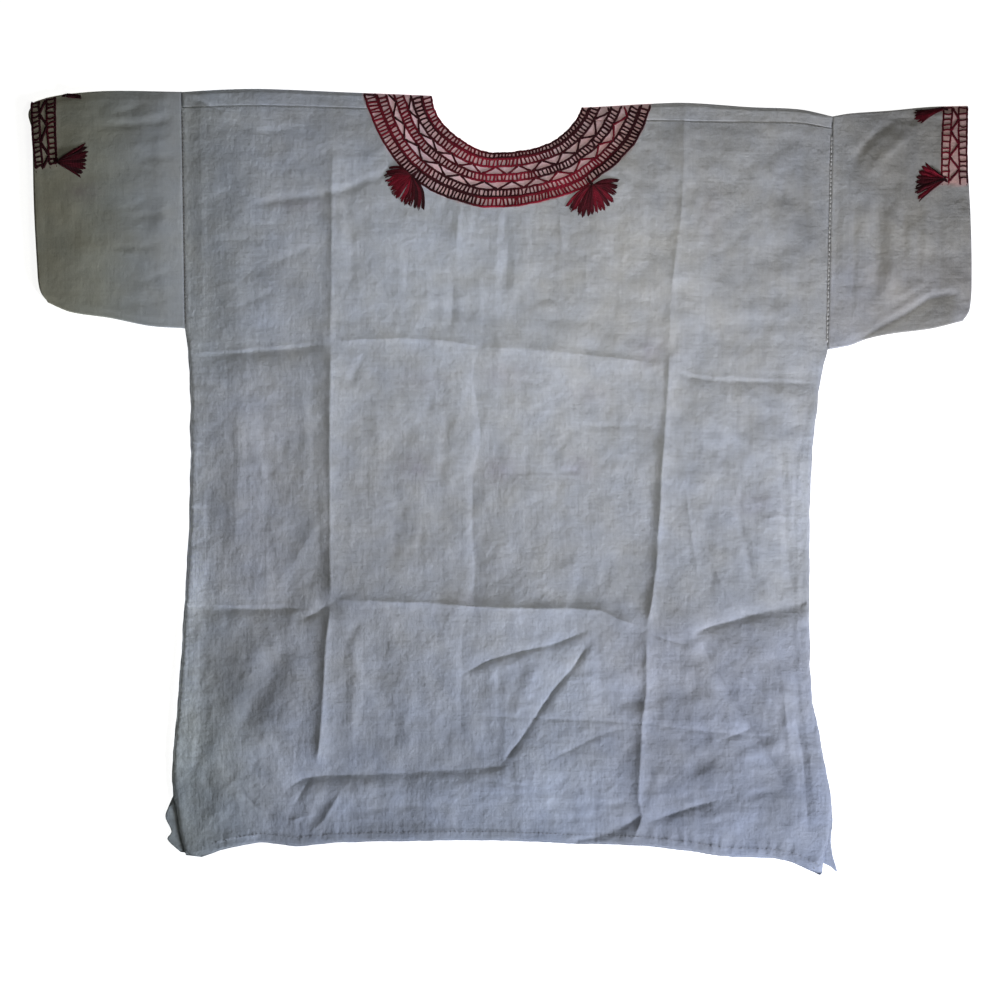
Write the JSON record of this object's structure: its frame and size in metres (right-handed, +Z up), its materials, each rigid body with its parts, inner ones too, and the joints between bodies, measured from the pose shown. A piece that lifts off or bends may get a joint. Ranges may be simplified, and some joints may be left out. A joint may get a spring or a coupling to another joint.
{
  "type": "embroidered blouse",
  "caption": "Short-sleeved cotton pullover blouse laid out flat, with a round neck, drop shoulders, side vents, embroidered bands at neck and cuffs, and small tassels.",
  "frame": {"origin": "under the middle of the whole garment as it lies, on the surface it lies on", "axes": "+Z up from the surface, +Y towards the neck, +X towards the sleeve at the viewer's right"},
  "size_m": [1.0003, 0.8344, 0.0078],
  "materials": {
    "cotton": "matt plain-woven cotton, off-white under a cool light, washed and creased",
    "embroidery_thread": "soft cotton embroidery yarn dyed in shades from crimson to near black, with a slight sheen"
  },
  "bodies": {
    "root": {"back": "cotton", "front": "cotton", "sleeve_left": "cotton", "sleeve_right": "cotton", "tassel_neck_left": "embroidery_thread", "tassel_neck_right": "embroidery_thread", "tassel_cuff_left_low": "embroidery_thread", "tassel_cuff_left_top": "embroidery_thread", "tassel_cuff_right_top": "embroidery_thread", "tassel_cuff_right_low": "embroidery_thread"}
  },
  "joints": []
}
